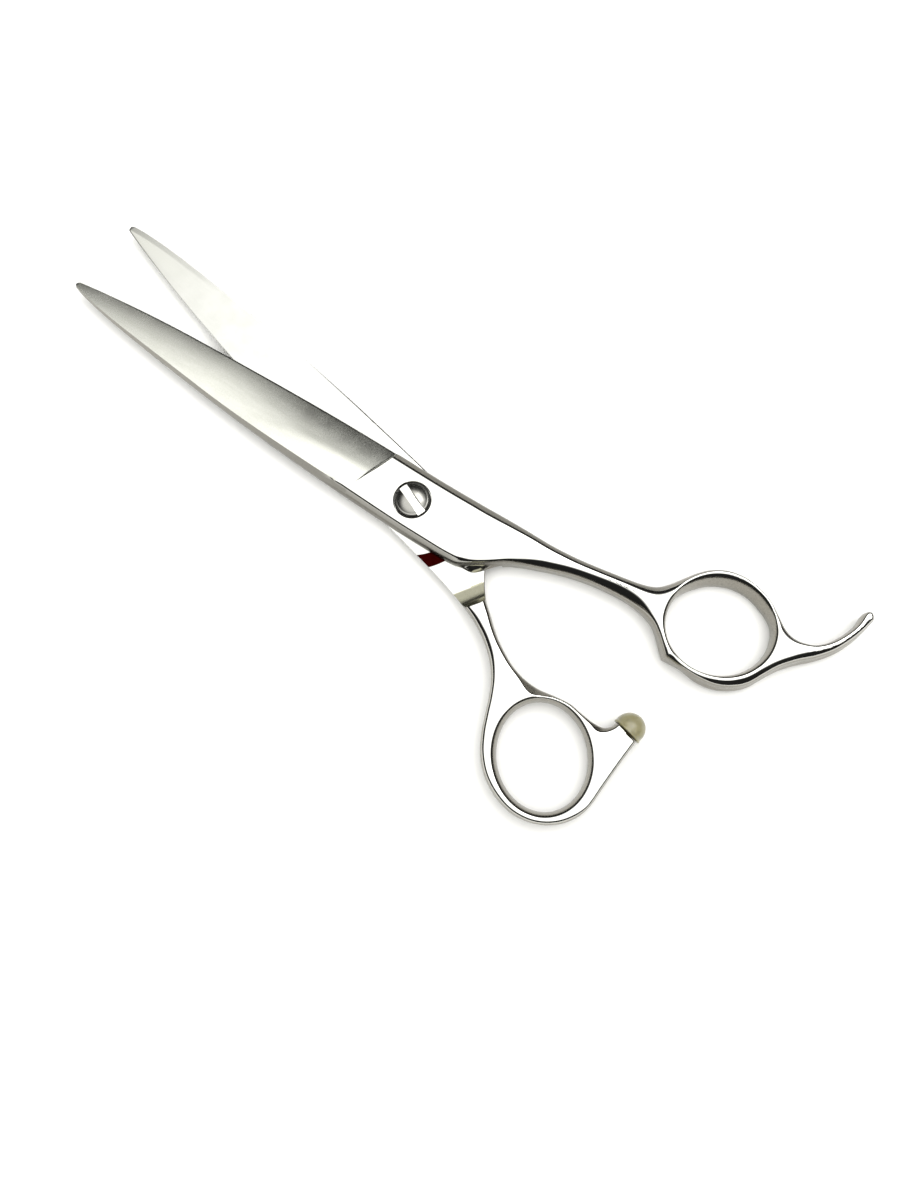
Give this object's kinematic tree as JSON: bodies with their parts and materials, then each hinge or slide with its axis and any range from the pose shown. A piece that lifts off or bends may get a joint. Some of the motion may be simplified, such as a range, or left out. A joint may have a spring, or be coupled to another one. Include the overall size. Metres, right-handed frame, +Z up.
{
  "type": "hair cutting shears",
  "caption": "Professional offset-handle hair cutting shears, two polished steel halves on a slotted pivot screw, fixed finger rest and rubber bumper, shown slightly open.",
  "frame": {"origin": "on the pivot axis, at the level of the surface the shears lie on, in the underside of the pivot nut", "axes": "+X from the pivot towards the finger rings (the tips point to -X), +Y towards the finger ring's side, +Z up to the screw head"},
  "size_m": [0.1755, 0.0696, 0.0073],
  "materials": {
    "blade_steel": "satin ground outer face, polished inner face",
    "polished_steel": "mirror polished bare stainless steel",
    "screw_steel": "turned and polished steel",
    "bush_bronze": "turned bronze",
    "dark_washer": "blackened spring steel",
    "ride_polymer": "dark red low-friction polymer",
    "bumper_rubber": "translucent olive-grey silicone rubber"
  },
  "bodies": {
    "finger_half": {"finger_blade": "blade_steel", "finger_handle": "polished_steel", "pivot_bush": "bush_bronze", "disc_washer": "dark_washer"},
    "thumb_half": {"thumb_blade": "blade_steel", "thumb_handle": "polished_steel", "ride_washer": "ride_polymer", "pivot_nut": "screw_steel", "bumper": "bumper_rubber"},
    "screw": {"pivot_screw": "screw_steel"}
  },
  "joints": [
    {"name": "blade_pivot", "type": "hinge", "parent": "finger_half", "child": "thumb_half", "pos_m": [0, 0, 0.0031], "axis": [0, 0, 1], "range_deg": [-80, 10.9]},
    {"name": "tension_screw", "type": "hinge", "parent": "thumb_half", "child": "screw", "pos_m": [0, 0, 0.0031], "axis": [0, 0, 1], "range_deg": [-90, 90]}
  ]
}
